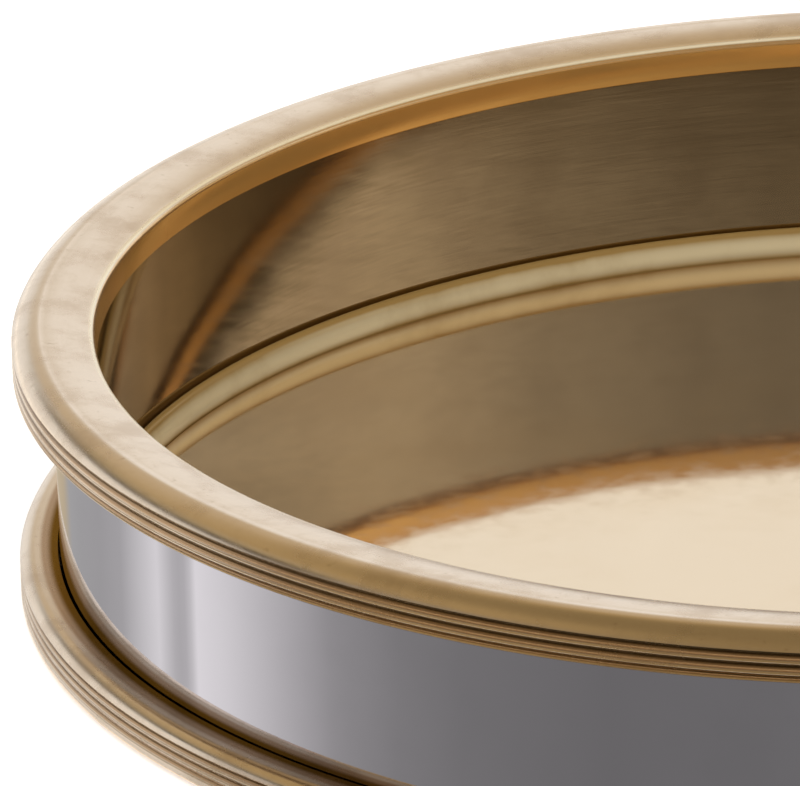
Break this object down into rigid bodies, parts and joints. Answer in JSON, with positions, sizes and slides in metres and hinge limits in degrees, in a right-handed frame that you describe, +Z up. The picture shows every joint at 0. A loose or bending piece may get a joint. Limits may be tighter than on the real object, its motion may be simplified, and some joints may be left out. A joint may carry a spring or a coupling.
{
  "type": "round serving tray",
  "caption": "Deep round serving tray: a polished brass floor and dark-toned wall inside a nickel band, capped and footed by fluted brass rims, on felt pads.",
  "frame": {"origin": "on the table, under the middle of the tray", "axes": "+Z up along the tray's axis; X and Y lie in the table, and the tray is the same all round"},
  "size_m": [0.5006, 0.5006, 0.0776],
  "materials": {
    "aged_brass": "brushed and aged, satin",
    "polished_brass": "polished, slightly wavy and toned",
    "toned_brass": "finely brushed round, dark toned",
    "polished_nickel": "mirror polished",
    "plywood": "sanded, clear sealed",
    "felt": "pressed wool felt",
    "screw_brass": "turned, satin"
  },
  "bodies": {
    "root": {"top_rim": "aged_brass", "base_rim": "aged_brass", "inner_wall": "toned_brass", "corner_bead": "polished_brass", "floor_plate": "polished_brass", "outer_band": "polished_nickel", "core_hoop": "plywood", "base_board": "plywood", "base_screw_1": "screw_brass", "base_screw_2": "screw_brass", "base_screw_3": "screw_brass", "base_screw_4": "screw_brass", "base_screw_5": "screw_brass", "base_screw_6": "screw_brass", "base_screw_7": "screw_brass", "base_screw_8": "screw_brass", "felt_pad_1": "felt", "felt_pad_2": "felt", "felt_pad_3": "felt", "felt_pad_4": "felt", "felt_pad_5": "felt", "felt_pad_6": "felt"}
  },
  "joints": []
}
